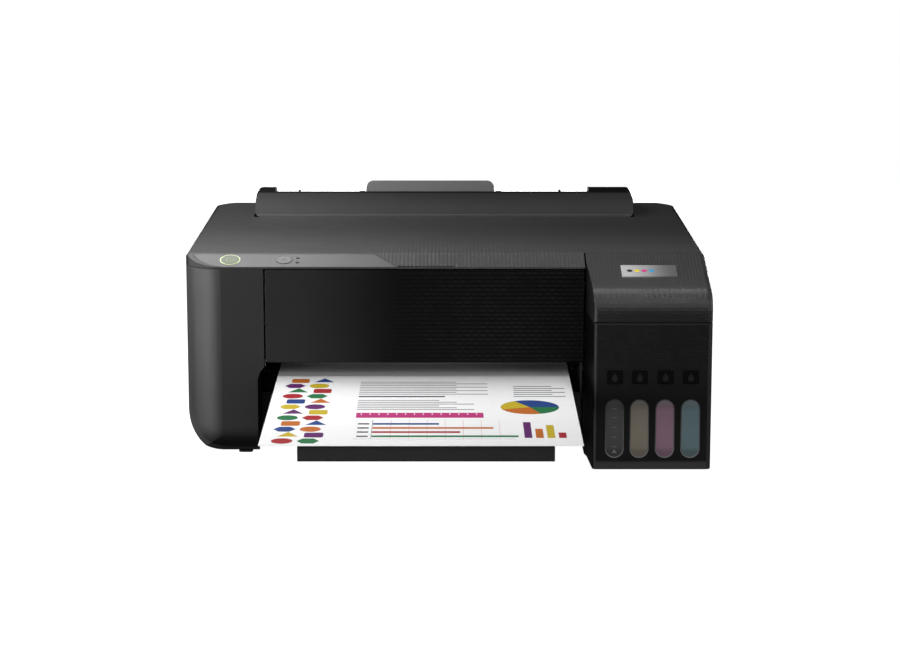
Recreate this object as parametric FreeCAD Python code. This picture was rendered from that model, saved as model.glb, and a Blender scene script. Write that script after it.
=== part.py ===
import FreeCAD, Part
import os, math
os.makedirs("parts", exist_ok=True)
V = FreeCAD.Vector

# ---------------------------------------------------------------- driving dimensions (mm)
# X right, Y back from the main front face, Z up from the table
BODY_W = 375.0        # overall width
BODY_D = 300.0        # main body depth
FOOT_H = 1.2          # foot height
TOP_Z = 145.0         # top at the front crease
TOP_REAR_Z = 142.8    # top at the rear edge
LIP_Z = 138.1         # front lip of the top
CREASE_Y = 20.0       # chamfer depth
WALL = 2.5            # casing wall
REAR_R = 30.0         # rear corner radius in plan
SEAM_Z = 136.5        # housing / top seam
SEAM_X = -130.0       # front cover left seam
COL_X = -134.9        # left column inner edge in the output opening
COVER_X1 = 99.7       # front cover right end
COVER_Z0 = 68.2       # front cover lower edge
TANK_Y = -47.0        # tank unit front face
TANK_X1 = 187.4       # tank unit right face
TANK_SEAM_Z = 106.4   # tank housing / cover seam
TANK_CX = (119.3, 136.7, 154.65, 172.6)   # tank centres
SHEET_X = (-120.5, 89.5)                  # A4 sheet, 210 wide
SHEET_Y = -196.0      # sheet front edge
SHEET_T = 0.3         # sheet thickness as modelled
TRAY_LIP_X = (-95.7, 71.2)
TRAY_Y = -190.0
Y_SHIFT = -52.0       # puts the origin under the middle of the overall box

# hinge and roller axes (Y, Z)
FRONT_AX = (7.0, 73.0)
TANK_AX = (14.0, 137.5)
GUARD_AX = (215.6, 145.7)
FEED_AX = (125.0, 54.9)
EJECT_AX = (64.0, 55.6)
PICK_AX = (186.0, 101.0)
SHAFT_AX = (139.0, 85.0)

done = []


def save(name, shape):
    s = shape.copy()
    s.translate(V(0, Y_SHIFT, 0))
    s.exportStep("parts/%s.step" % name)
    done.append(name)


def box(x0, x1, y0, y1, z0, z1):
    return Part.makeBox(x1 - x0, y1 - y0, z1 - z0, V(x0, y0, z0))


def cylx(x0, x1, y, z, r):
    return Part.makeCylinder(r, x1 - x0, V(x0, y, z), V(1, 0, 0))


def cyly(x, y0, y1, z, r):
    return Part.makeCylinder(r, y1 - y0, V(x, y0, z), V(0, 1, 0))


def cylz(x, y, z0, z1, r):
    return Part.makeCylinder(r, z1 - z0, V(x, y, z0), V(0, 0, 1))


def prism(plane, pts, a0, a1):
    """closed outline of (u, v) or (u, v, radius) corners, extruded from a0 to a1"""
    n = len(pts)

    def p3(u, v):
        if plane == "xy":
            return V(u, v, a0)
        if plane == "xz":
            return V(u, a0, v)
        return V(a0, u, v)
    ins, outs, mids = [], [], []
    for i in range(n):
        p = pts[i]
        r = p[2] if len(p) > 2 else 0.0
        if r <= 0:
            ins.append((p[0], p[1]))
            outs.append((p[0], p[1]))
            mids.append(None)
            continue
        a, b = pts[i - 1], pts[(i + 1) % n]
        ax, ay = a[0] - p[0], a[1] - p[1]
        bx, by = b[0] - p[0], b[1] - p[1]
        la, lb = math.hypot(ax, ay), math.hypot(bx, by)
        ax, ay, bx, by = ax / la, ay / la, bx / lb, by / lb
        ang = math.acos(max(-1, min(1, ax * bx + ay * by)))
        t = r / math.tan(ang / 2)
        cx, cy = ax + bx, ay + by
        lc = math.hypot(cx, cy)
        cx, cy = cx / lc, cy / lc
        d = r / math.sin(ang / 2)
        ins.append((p[0] + ax * t, p[1] + ay * t))
        outs.append((p[0] + bx * t, p[1] + by * t))
        mids.append((p[0] + cx * (d - r), p[1] + cy * (d - r)))
    edges = []
    for i in range(n):
        if mids[i]:
            edges.append(Part.Arc(p3(*ins[i]), p3(*mids[i]), p3(*outs[i])).toShape())
        j = (i + 1) % n
        if math.hypot(outs[i][0] - ins[j][0], outs[i][1] - ins[j][1]) > 1e-6:
            edges.append(Part.makeLine(p3(*outs[i]), p3(*ins[j])))
    face = Part.Face(Part.Wire(edges))
    d = a1 - a0
    vec = {"xy": V(0, 0, d), "xz": V(0, d, 0), "yz": V(d, 0, 0)}[plane]
    return face.extrude(vec)


def arc_pts(cx, cy, r, a0, a1, n):
    return [(cx + r * math.cos(math.radians(a0 + (a1 - a0) * i / n)),
             cy + r * math.sin(math.radians(a0 + (a1 - a0) * i / n))) for i in range(n + 1)]


def fuse(first, *others):
    s = first
    for o in others:
        s = s.fuse(o)
    return s.removeSplitter()


def plan(inset, z0, z1):
    w = BODY_W / 2 - inset
    return prism("xy", [(-w, inset, 27 - inset), (w, inset, 4), (w, BODY_D - inset, REAR_R - inset),
                        (-w, BODY_D - inset, REAR_R - inset)], z0, z1)


def body(i):
    w = BODY_W / 2 - i
    front = prism("xz", [(-w, FOOT_H + i, 32 - i), (w, FOOT_H + i, 3), (w, TOP_Z - i, 4),
                         (-w, TOP_Z - i, 4)], -5, 305)
    side = prism("yz", [(i, FOOT_H + i, 14 - i), (BODY_D - i, FOOT_H + i, 3),
                        (BODY_D - i, TOP_REAR_Z - i, 5), (CREASE_Y + 0.2 * i, TOP_Z - i, 0),
                        (i, LIP_Z - i * 0.95, 0)], -200, 200)
    return plan(i, 0, 160).common(front).common(side)


outer = body(0)
inner = body(WALL)
shell = outer.cut(inner)

# ---------------------------------------------------------------- main housing
ARC = arc_pts(-119.9, 53.8, 15.0, 132.3, 180.0, 8)
opening = prism("xz", [(COL_X, -2), (102, -2), (102, 140), (SEAM_X, 140)] + ARC[:], -5, 30)
mh = shell.common(box(-200, 200, -10, 310, 0, SEAM_Z))
mh = mh.cut(opening)
mh = mh.cut(box(100.2, 200, -10, 21.5, -1, 150))
mh = mh.cut(box(-161.3, 200, 14.2, 297.5, -1, 4.8))
# inner wall of the left column, following the opening outline
strip = prism("xz", [(COL_X, 4.9)] + ARC[::-1] + arc_pts(-119.9, 53.8, 17.0, 132.3, 180.0, 8)
              + [(COL_X - 2.0, 4.9)], 2.0, 60)
mh = mh.fuse(strip)
mh = mh.fuse(box(SEAM_X - 2.0, SEAM_X, 1.5, 14, 66.0, 126.0)).fuse(box(SEAM_X - 2.0, SEAM_X, 1.5, 4.0, 125.0, SEAM_Z))
boss = box(-138, SEAM_X, 2.0, 12.5, 67.5, 79)
mh = mh.fuse(boss)
mh = mh.cut(cylx(-140, -120, FRONT_AX[0], FRONT_AX[1], 2.55))
mh = mh.cut(cylx(98, 200, TANK_AX[0], TANK_AX[1], 10.0))
# rear wall: mains inlet, data port, screw counterbores, vent slots
mh = mh.cut(box(119, 143, 290, 302, 11, 29))
mh = mh.cut(box(-61, -45, 290, 302, 14, 28))
SCREWS = [(-156, 24), (156, 24), (-156, 118), (156, 118), (0, 24)]
for sx, sz in SCREWS:
    mh = mh.cut(cyly(sx, 290, 302, sz, 1.6)).cut(cyly(sx, 298.4, 302, sz, 3.9))
for k in range(9):
    mh = mh.cut(box(-120 + k * 6, -117.5 + k * 6, 290, 302, 45, 75))
main_housing = mh.removeSplitter()
save("main_housing", main_housing)

# ---------------------------------------------------------------- top housing and control strip
th = shell.common(box(-200, 200, -10, 310, SEAM_Z + 0.3, 160))
th = th.cut(box(100.2, 200, -10, TANK_AX[0], 100, 160))
th = th.cut(cylx(100.2, 200, TANK_AX[0], TANK_AX[1], 10.0))
th = th.cut(prism("xy", [(-152, 207.9, 5), (151, 207.9, 5), (152.5, 293, 4), (-153, 293, 4)], 130, 160))
th = th.cut(box(-33.6, 7.1, -1, 1.6, 137.6, 139.0))
# skirt that reaches down inside the main housing at the sides
skirt = plan(WALL + 0.3, 128, SEAM_Z + 4.7).cut(plan(WALL + 2.1, 120, 150)).cut(box(-132, 200, -5, 60, 100, 160)) \
    .cut(box(-200, -130, -5, 30, 100, 160))
th = th.fuse(skirt.common(outer))
SLOPE = math.atan2(TOP_Z - LIP_Z, CREASE_Y)
CN = (-math.sin(SLOPE), math.cos(SLOPE))      # outward normal of the chamfer (Y, Z)


def on_chamfer(y):
    return LIP_Z + (TOP_Z - LIP_Z) * y / CREASE_Y


def slab(d0, d1):
    # layer under the chamfer surface between depths d0 and d1
    pts = [(0 - CN[0] * d1, LIP_Z - CN[1] * d1), (CREASE_Y - CN[0] * d1, TOP_Z - CN[1] * d1),
           (CREASE_Y - CN[0] * d0, TOP_Z - CN[1] * d0), (0 - CN[0] * d0, LIP_Z - CN[1] * d0)]
    return prism("yz", pts, -200, 200)


def panel_area(g):
    pts = [(-200, -3), (-33.6 - g * 1.2, -3), (-35.4 - g * 1.2, 0.6, 0), (-50.4 - g * 1.2, 18.7 - g, 4), (-200, 18.7 - g)]
    edge = plan(-0.5, 120, 160) if g == 0 else plan(0, 120, 160)
    edge.translate(V(5.0 if g == 0 else 4.8, 0, 0))
    return prism("xy", pts, 130, 150).common(edge)


pocket = panel_area(0).common(slab(-3, 1.05))
th = th.cut(pocket)
panel = panel_area(0.3).common(slab(0.0, 1.0)).common(outer)


def chamfer_cyl(x, y, r, up, down):
    # cylinder normal to the chamfer, from -down to +up about the surface
    z = on_chamfer(y)
    return Part.makeCylinder(r, up + down, V(x, y - CN[0] * down, z - CN[1] * down), V(0, CN[0], CN[1]))


PB = (-154.2, 10.0)
FB = (-115.5, 10.0)
panel = panel.cut(chamfer_cyl(PB[0], PB[1], 7.4, 3, 8)).cut(chamfer_cyl(FB[0], FB[1], 5.95, 3, 8))
th = th.cut(chamfer_cyl(PB[0], PB[1], 7.4, 3, 9)).cut(chamfer_cyl(FB[0], FB[1], 5.95, 3, 9))
leds = []
for ly in (12.6, 6.2):
    panel = panel.cut(chamfer_cyl(-105.6, ly, 1.25, 3, 8))
    th = th.cut(chamfer_cyl(-105.6, ly, 1.25, 3, 9))
    leds.append(chamfer_cyl(-105.6, ly, 1.2, 0.05, 4.0))
top_housing = th.removeSplitter()
save("top_housing", top_housing)
save("control_panel", panel.removeSplitter())
save("status_leds", Part.makeCompound(leds))
save("power_light_ring", chamfer_cyl(PB[0], PB[1], 7.38, 0.25, 2.4).cut(chamfer_cyl(PB[0], PB[1], 6.5, 3, 9)))
save("power_button", chamfer_cyl(PB[0], PB[1], 6.42, 0.5, 4.6))
save("feed_button", chamfer_cyl(FB[0], FB[1], 5.87, 0.35, 4.6))
pb = [(1.5 - CN[0] * 6.0, on_chamfer(1.5) - CN[1] * 6.0), (18.0 - CN[0] * 6.0, on_chamfer(18.0) - CN[1] * 6.0),
      (18.0 - CN[0] * 7.6, on_chamfer(18.0) - CN[1] * 7.6), (1.5 - CN[0] * 7.6, on_chamfer(1.5) - CN[1] * 7.6)]
save("panel_board", prism("yz", pb, -164, -98).cut(box(-200, 0, -5, 5.6, 100, 160)))

# ---------------------------------------------------------------- front cover
fc = prism("yz", [(0, COVER_Z0, 1.2), (WALL, COVER_Z0, 0), (WALL, 136.2, 0), (0, 136.2, 0.8)], SEAM_X + 1.1, COVER_X1)
fc = fc.common(prism("xy", [(SEAM_X + 1.1, 0, 0.9), (COVER_X1, 0, 0.5), (COVER_X1, 20, 0), (SEAM_X + 1.1, 20, 0)], 60, 150))
for xa, xb in ((SEAM_X + 1.1, SEAM_X + 4.5), (COVER_X1 - 3.5, COVER_X1)):
    fc = fc.fuse(prism("yz", [(1.5, 69.8, 0), (10.5, 69.8, 3), (10.5, 76.5, 3), (4.5, 79, 0), (4.5, 132, 0), (1.5, 134, 0)], xa, xb))
for rz in (88, 110):
    fc = fc.fuse(box(SEAM_X + 2, COVER_X1 - 2, 2.0, 3.8, rz, rz + 1.6))
fc = fc.fuse(cylx(-133.6, SEAM_X + 2, FRONT_AX[0], FRONT_AX[1], 2.5))
fc = fc.fuse(cylx(COVER_X1 - 2, 102.7, FRONT_AX[0], FRONT_AX[1], 2.5))
save("front_cover", fc.removeSplitter())

# ---------------------------------------------------------------- tank unit
TP = [(104, TANK_Y, 3), (TANK_X1, TANK_Y, 4), (TANK_X1, 21.2, 0), (100.5, 21.2, 0), (100.5, 0, 0), (102, -9, 0)]
TPI = [(106.5, TANK_Y + 2.5, 1), (TANK_X1 - 2.5, TANK_Y + 2.5, 1), (TANK_X1 - 2.5, 18.7, 0), (103.0, 18.7, 0),
       (103.0, 0.2, 0), (104.5, -8.8, 0)]
tk = prism("xy", TP, FOOT_H, TANK_SEAM_Z - 0.45).cut(prism("xy", TPI, FOOT_H + 2.5, 140))
tk = tk.fuse(box(104.2, 184.5, 18.7, 21.2, 100, 126))
WIN = [(112.7, 125.9), (129.9, 143.5), (147.8, 161.5), (165.7, 179.5)]
TILE = [(113.5, 124.8), (131.0, 142.4), (148.9, 160.6), (166.7, 178.5)]


def pill(x0, x1, z0, z1, y0, y1):
    r = (x1 - x0) / 2 - 0.01
    return prism("xz", [(x0, z0, r), (x1, z0, r), (x1, z1, r), (x0, z1, r)], y0, y1)


for (x0, x1) in WIN:
    tk = tk.cut(pill(x0, x1, 9.4, 52.0, -50, -40))
for (x0, x1) in TILE:
    tk = tk.cut(prism("xz", [(x0, 62.1, 1), (x1, 62.1, 1), (x1, 72.8, 1), (x0, 72.8, 1)], -50, TANK_Y + 0.6))
# hinge posts of the tank cover
for xa in (104.2, 180.3):
    post = box(xa, xa + 3.5, 11.4, 16.6, 98, TANK_AX[1]).fuse(box(xa, xa + 3.5, 11.4, 19.0, 98, 125))
    post = post.fuse(cylx(xa, xa + 3.5, TANK_AX[0], TANK_AX[1], 2.75))
    tk = tk.fuse(post)
    tk = tk.cut(cylx(xa - 1, xa + 4.5, TANK_AX[0], TANK_AX[1], 1.55))
# deck carrying the tank necks and cap hinges
deck = box(103.5, 184.6, -43.0, 18.9, 89.0, 91.0)
for cx in TANK_CX:
    deck = deck.cut(cylz(cx, -22, 80, 100, 5.7))
    for hx in (cx - 6.4, cx + 4.2):
        ear = box(hx, hx + 2.2, -2.5, 2.5, 91.0, 97.0).fuse(cylx(hx, hx + 2.2, 0, 97.0, 2.5))
        deck = deck.fuse(ear.cut(cylx(hx - 1, hx + 4, 0, 97.0, 1.25)))
tk = tk.fuse(deck)
for cx in TANK_CX:
    tk = tk.cut(cyly(cx, 17, 23, 12, 1.9))
tk = tk.cut(cylx(98, 104, FRONT_AX[0], FRONT_AX[1], 2.55))
save("tank_housing", tk.removeSplitter())

TANKS = ("black", "yellow", "magenta", "cyan")
for cx, nm, (x0, x1) in zip(TANK_CX, TANKS, WIN):
    t = box(cx - 8.1, cx + 8.1, -44.2, 16, 6, 86)
    t = t.fuse(cylz(cx, -22, 85, 98, 5.2))
    t = t.fuse(pill(x0 + 0.4, x1 - 0.4, 9.8, 51.6, -46.7, -44))
    t = t.cut(box(cx - 6.7, cx + 6.7, -42.8, 14.6, 7.4, 84.6))
    t = t.cut(cylz(cx, -22, 80, 99, 3.4))
    t = t.removeSplitter()
    save("ink_tank_" + nm, t)
    # cap: plug over the neck on an arm hinged behind it
    c = cylz(cx, -22, 98.4, 103.5, 6.4)
    c = c.fuse(cylz(cx, -22, 94.0, 99.0, 2.9))
    c = c.fuse(box(cx - 3.0, cx + 3.0, -20, -1.5, 99.5, 102.0))
    c = c.fuse(box(cx - 3.0, cx + 3.0, -2.0, 2.0, 95.5, 102.0))
    c = c.fuse(cylx(cx - 6.3, cx + 6.3, 0, 97.0, 1.2))
    save("tank_cap_" + nm, c.removeSplitter())

SL = math.tan(math.radians(15.5))
CP = [(20.0, TOP_Z), (-46.99, TOP_Z - SL * 66.99, 16.5), (TANK_Y, TANK_SEAM_Z + 0.45, 0), (20.0, TANK_SEAM_Z + 0.45)]
CPI = [(30.0, TOP_Z - 2.6 + SL * 10), (TANK_Y + 2.5, TOP_Z - 2.6 - SL * 64.5, 14.0), (TANK_Y + 2.5, 100), (30.0, 100)]
TPC = [(104, TANK_Y, 3), (TANK_X1 + 2, TANK_Y, 0), (TANK_X1 + 2, 21.2, 0), (101.3, 21.2, 0), (101.3, 0, 0), (102.4, -9, 0)]
tc = prism("yz", CP, 90, TANK_X1)
rim = [e for e in tc.Edges if min(v.X for v in e.Vertexes) > TANK_X1 - 0.01 and max(v.Y for v in e.Vertexes) < 20.1
       and not (min(v.Y for v in e.Vertexes) > 19.9) and not (max(v.Z for v in e.Vertexes) < TANK_SEAM_Z + 1.0 and min(v.Y for v in e.Vertexes) > TANK_Y + 0.1)
       and max(v.Z for v in e.Vertexes) > TANK_SEAM_Z + 1.0]
tc = tc.makeFillet(4.0, rim).common(prism("xy", TPC, 100, 160))
tc = tc.cut(prism("yz", CPI, 90, 200).common(prism("xy", [(106.4, TANK_Y + 2.4, 1), (TANK_X1 - 2.4, TANK_Y + 2.4, 1),
            (TANK_X1 - 2.4, 30, 0), (102.9, 30, 0), (102.9, 0.2, 0), (104.4, -8.8, 0)], 90, 160)))
tc = tc.cut(box(90, 200, TANK_AX[0], 40, 100, 160).cut(cylx(90, 200, TANK_AX[0], TANK_AX[1], 9.6)).cut(
    box(90, 200, 0, 18.3, 100, TANK_AX[1])))
for xa in (108.1, 177.0):
    arm = prism("yz", [(10.8, TANK_AX[1], 0), (14.0, 134.6, 0), (17.2, TANK_AX[1], 0), (18.0, 142.5, 0), (10.8, 141.0, 0)], xa, xa + 3.0)
    tc = tc.fuse(arm)
tc = tc.fuse(cylx(104.4, 109, TANK_AX[0], TANK_AX[1], 1.5)).fuse(cylx(179, 183.6, TANK_AX[0], TANK_AX[1], 1.5))
tank_cover = tc.removeSplitter()
save("tank_cover", tank_cover)


def on_slope(y):
    return TOP_Z - SL * (20.0 - y)


ca, sa = math.cos(math.radians(15.5)), math.sin(math.radians(15.5))


def slope_pt(y, d):
    # point d above the tank cover slope
    return (y - sa * d, on_slope(y) + ca * d)


bp = [slope_pt(-19.6, 0.02), slope_pt(-1.6, 0.02), slope_pt(-1.6, 0.75), slope_pt(-19.6, 0.75)]
badge = prism("yz", bp, 125.2, 164.4)
save("tank_badge", badge)

# ---------------------------------------------------------------- base and feet
bs = box(-161, 184.6, 30, 297.2, FOOT_H, 4.5).fuse(box(-161, -137.8, 14.5, 30.5, FOOT_H, 4.5))
bs = bs.fuse(box(101, 184.6, 22.0, 30.5, FOOT_H, 4.5)).common(plan(WALL + 0.3, 0, 60))
bs = bs.fuse(box(-134.2, 99.6, 30, 32.5, FOOT_H, 40))
for xa in (-103.0, 75.0):
    bs = bs.fuse(box(xa, xa + 4, 32, 118, 4, 43.4))
for k in range(4):
    bs = bs.fuse(box(-90 + k * 50, -88 + k * 50, 32, 150, 4, 9))
save("base_tray", bs.removeSplitter())
feet = []
for fx, fy in ((-145, 14.5), (155, -33), (-145, 278), (150, 278)):
    feet.append(prism("xy", [(fx - 5, fy - 5, 2), (fx + 5, fy - 5, 2), (fx + 5, fy + 5, 2), (fx - 5, fy + 5, 2)], 0, FOOT_H))
save("rubber_feet", Part.makeCompound(feet))

# ---------------------------------------------------------------- output tray, extension, sheet
ot = box(-104, 80, -96, 20, 43.9, 46.4)
for xa in (-100.0, 73.0):
    ot = ot.fuse(box(xa, xa + 2.5, -96, 20, 46, 50.6))
for xa in (-60, 30):
    ot = ot.cut(prism("xy", [(xa, -80, 3), (xa + 8, -80, 3), (xa + 8, 5, 3), (xa, 5, 3)], 40, 50))
save("output_tray", ot.removeSplitter())
te = box(-95.5, 71.0, -187, -75, 46.9, 49.4)
te = te.fuse(prism("yz", [(TRAY_Y, 41.9, 1.5), (TRAY_Y + 4, 41.9, 0.5), (TRAY_Y + 4, 51.9, 0.5), (TRAY_Y, 51.9, 1.5)],
                   TRAY_LIP_X[0], TRAY_LIP_X[1]))
save("tray_extension", te.removeSplitter())
SP = [(SHEET_Y, 53.9), (42.0, 58.6), (58.0, 60.0), (101.0, 60.0)]
save("printed_sheet", prism("yz", SP + [(y, z + SHEET_T) for y, z in SP[::-1]], SHEET_X[0], SHEET_X[1]))

# ---------------------------------------------------------------- rear feeder
FS, FC = 0.809017, 0.587785


def fp(s, n):
    # s along the paper plane upwards, n behind it
    return (250.0 + FC * s + FS * n, 163.6 + FS * s - FC * n)


def fplate(s0, s1, n0, n1, x0, x1):
    return prism("yz", [fp(s0, n0), fp(s1, n0), fp(s1, n1), fp(s0, n1)], x0, x1)


ff = fplate(-44, -7, 0, 2, -135, 117)
CHEEK = [(228, 118), (228, 152), (240, 161.4, 3), (256, 161.4, 3), (289, 146.5), (289, 118)]
ff = ff.fuse(prism("yz", CHEEK, -151.6, -136.6).common(prism("xz", [(-151.6, 100), (-136.6, 100), (-136.6, 161.41, 0), (-151.6, 161.41, 4.5)], 200, 300)))
ff = ff.fuse(prism("yz", CHEEK, 115.6, 150).common(prism("xz", [(150, 100), (115.6, 100), (115.6, 161.41, 0), (150, 161.41, 4.5)], 200, 300)))
for xa in (-150.0, 146.0):
    ff = ff.fuse(box(xa, xa + 3, 174, 289, 4.5, 140))
ff = ff.fuse(box(-150, 149, 208.5, 218, 129.5, 137.0))
ff = ff.fuse(prism("yz", [(291, 138), (291, 143.0), (264.5, 155.6), (262.5, 154.0), (288, 141.3), (288, 138)], -150, 149))
for xa in (-102.0, 73.4):
    ff = ff.fuse(fplate(-62, -14, 0, 8, xa, xa + 3.6))
for xa in (-66.0, 32.0):
    ff = ff.fuse(fplate(-51, -42, -4.6, 2, xa, xa + 4))
ff = ff.fuse(box(-150, -145, 174, 200, 4.5, 12)).fuse(box(144, 149, 174, 195, 4.5, 12))
# room for the lower edge of the guard as it swings
ff = ff.cut(box(-151, 150, 206, 222.5, 137.3, 141))
KN = ((-143.0, -138.0), (137.0, 142.0))
for xa, xb in KN:
    ff = ff.fuse(cylx(xa, xb, GUARD_AX[0], GUARD_AX[1], 2.3)).fuse(box(xa, xb, GUARD_AX[0], 229, 144.4, 146.4))
    ff = ff.cut(cylx(xa - 1, xb + 1, GUARD_AX[0], GUARD_AX[1], 1.25))
ha = fp(-47.5, -2.1)
ff = ff.cut(cylx(-70, 40, ha[0], ha[1], 1.25))
ff = ff.cut(cylx(-152, -145, PICK_AX[0], PICK_AX[1], 3.05)).cut(cylx(140, 152, PICK_AX[0], PICK_AX[1], 3.05))
save("feeder_frame", ff.removeSplitter())

GB = 143.2            # lower edge of the guard


def guard_face(z):
    return 209.5 + 0.731 * (z - 144.0)


fg = prism("yz", [(guard_face(GB), GB, 0.8), (212.8, GB, 0.8), (226.2, 161.6, 1.2), (222.8, 162.2, 1.2)], -151, 150)
bead = prism("yz", [(guard_face(142.5) - 0.62, 142.5), (guard_face(149.5) - 0.62, 149.5), (guard_face(149.5) + 1.2, 149.5),
                    (guard_face(142.5) + 1.2, 142.5)], -151, 150)
bead = bead.common(prism("xz", [(-151, GB, 5), (150, GB, 5), (150, 170, 0), (-151, 170, 0)], 200, 240)
                   .cut(prism("xz", [(-149.8, GB + 1.3, 4), (148.8, GB + 1.3, 4), (148.8, 170, 0), (-149.8, 170, 0)], 200, 240)))
fg = fg.common(prism("xz", [(-151, GB, 5), (150, GB, 5), (150, 170, 0), (-151, 170, 0)], 200, 240)).fuse(bead) \
    .common(prism("xz", [(-151, 140, 0), (150, 140, 0), (150, 162.3, 7), (-151, 162.3, 7)], 200, 240))
for xa, xb in KN:
    for ea, eb in ((xa - 3.6, xa - 0.4), (xb + 0.4, xb + 3.6)):
        fg = fg.fuse(cylx(ea, eb, GUARD_AX[0], GUARD_AX[1], 2.4)).fuse(
            prism("yz", [(211.5, 144.6), (GUARD_AX[0], 143.5), (218.0, 146.0), (217.5, 148.5), (214.0, 148.5)], ea, eb))
    fg = fg.cut(cylx(xa - 0.4, xb + 0.4, GUARD_AX[0], GUARD_AX[1], 3.3))
    fg = fg.fuse(cylx(xa - 1, xb + 1, GUARD_AX[0], GUARD_AX[1], 1.2))
save("feeder_guard", fg.removeSplitter())

ps = fplate(-85, -7.5, 3, 5.5, -98, 73)
for xa in (-69.0, 41.0):
    ps = ps.fuse(fplate(-9, -3.6, 3, 5.5, xa, xa + 4.5))
for xa in (-70, -20, 30):
    ps = ps.cut(fplate(-70, -25, 2, 7, xa, xa + 14))
save("paper_support", ps.removeSplitter())
se = fplate(-80, 8.6, 6.5, 9.0, -64, 40)
se = se.common(prism("xz", [(-64, 60, 0), (40, 60, 0), (40, 165.8, 6), (-64, 165.8, 6)], 150, 300))
save("support_extension", se.removeSplitter())


def guide(xp, xf0, xf1):
    prof = [fp(-41.5, -0.5), fp(-4.6, -0.5), fp(-5.2, -2.4), fp(-15.0, -9.0), fp(-41.5, -9.0)]
    g = prism("yz", prof, xp, xp + 2.0)
    return g.fuse(fplate(-41.5, -14, -2.3, -0.5, xf0, xf1)).removeSplitter()


save("edge_guide_left", guide(-118.2, -118.2, -106.0))
save("edge_guide_right", guide(91.4, 81.2, 93.4))
hp = fplate(-96, -44.8, -3.0, -1.2, -61.5, 27.5)
hp = hp.fuse(cylx(-65.5, -60, ha[0], ha[1], 1.2)).fuse(cylx(26, 35.5, ha[0], ha[1], 1.2))
save("hopper_plate", hp.removeSplitter())
pr = cylx(-149.6, 148.6, PICK_AX[0], PICK_AX[1], 3.0).fuse(cylx(-42, 8, PICK_AX[0], PICK_AX[1], 11.0))
save("pickup_roller", pr.removeSplitter())


# ---------------------------------------------------------------- paper path and gear train
def gear(n, c, x0, x1, phase, bore):
    rp = n / 2.0
    rb = rp * math.cos(math.radians(20))
    ra, rf = rp + 0.85, rp - 1.25
    inv = lambda a: math.tan(a) - a
    thick = math.pi / 2 - 0.36
    r0 = max(rb, rf + 0.05) + 0.02
    half = lambda r: thick / (2 * rp) + inv(math.radians(20)) - inv(math.acos(min(1.0, rb / r)))
    pts = []
    for k in range(n):
        a = math.radians(phase) + 2 * math.pi * k / n
        rs = [r0 + (ra - r0) * i / 4.0 for i in range(5)]
        prof = [(rf, -half(r0))] + [(r, -half(r)) for r in rs] + [(r, half(r)) for r in rs[::-1]] + [(rf, half(r0))]
        pts += [(c[0] + r * math.cos(a + t), c[1] + r * math.sin(a + t)) for r, t in prof]
    g = prism("yz", pts, x0, x1)
    return g.cut(cylx(x0 - 1, x1 + 1, c[0], c[1], bore))


GX = (-178.0, -172.0)
PHI = math.degrees(math.atan2(EJECT_AX[1] - FEED_AX[1], EJECT_AX[0] - FEED_AX[0]))
IDL_AX = (FEED_AX[0] + 32.5 * math.cos(math.radians(PHI)), FEED_AX[1] + 32.5 * math.sin(math.radians(PHI)))
PSI = PHI - 26 * 9.0
PIN_AX = (FEED_AX[0] + 27.0 * math.cos(math.radians(PSI)), FEED_AX[1] + 27.0 * math.sin(math.radians(PSI)))
save("feed_gear", gear(40, FEED_AX, GX[0], GX[1], PHI, 3.0))
save("idler_gear", gear(25, IDL_AX, GX[0], GX[1], PHI + 180 + 180.0 / 25, 2.05))
save("eject_gear", gear(32, EJECT_AX, GX[0], GX[1], PHI + 180 + 180.0 / 32, 2.5))
fpn = gear(14, PIN_AX, GX[0], GX[1], PSI + 180 + 180.0 / 14, 1.4).fuse(cylx(-178, -163, PIN_AX[0], PIN_AX[1], 1.5))
save("feed_pinion", fpn.removeSplitter())
fm = cylx(-169.5, -140, PIN_AX[0], PIN_AX[1], 13.0).fuse(cylx(-140.5, -137, PIN_AX[0], PIN_AX[1], 4.0))
save("feed_motor", fm.cut(cylx(-170, -162, PIN_AX[0], PIN_AX[1], 1.55)).removeSplitter())
fr = cylx(-178.5, 104, FEED_AX[0], FEED_AX[1], 3.0).fuse(cylx(-130, 97, FEED_AX[0], FEED_AX[1], 5.0))
save("feed_roller", fr.removeSplitter())
er = cylx(-178.5, 104, EJECT_AX[0], EJECT_AX[1], 2.5)
for k in range(8):
    er = er.fuse(cylx(-112 + k * 26, -100 + k * 26, EJECT_AX[0], EJECT_AX[1], 4.0))
save("eject_roller", er.removeSplitter())

pl = box(-125, 95, 75, 115, 53.5, 57.5)
for k in range(15):
    pl = pl.fuse(box(-120 + k * 15, -118.6 + k * 15, 75, 115, 57, 59.5))
for xa in (-125, 91):
    pl = pl.fuse(box(xa, xa + 4, 80, 112, 4.5, 54))
save("platen", pl.removeSplitter())

SW_AX = (64.0, 64.6)
sh = box(-169.4, 99.9, 57, 71, 69.5, 73.5)
LUG = (-119.0, -12.0, 91.0)
for xa in LUG:
    sh = sh.fuse(box(xa, xa + 2, 62, 66.2, 62.6, 70))
sh = sh.cut(cylx(-130, 95, SW_AX[0], SW_AX[1], 1.05))
save("star_wheel_holder", sh.removeSplitter())
sw = cylx(-120.5, 94.5, SW_AX[0], SW_AX[1], 1.0)
for k in range(8):
    sw = sw.fuse(cylx(-107 + k * 26, -105.4 + k * 26, SW_AX[0], SW_AX[1], 4.0))
save("star_wheels", sw.removeSplitter())

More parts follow.
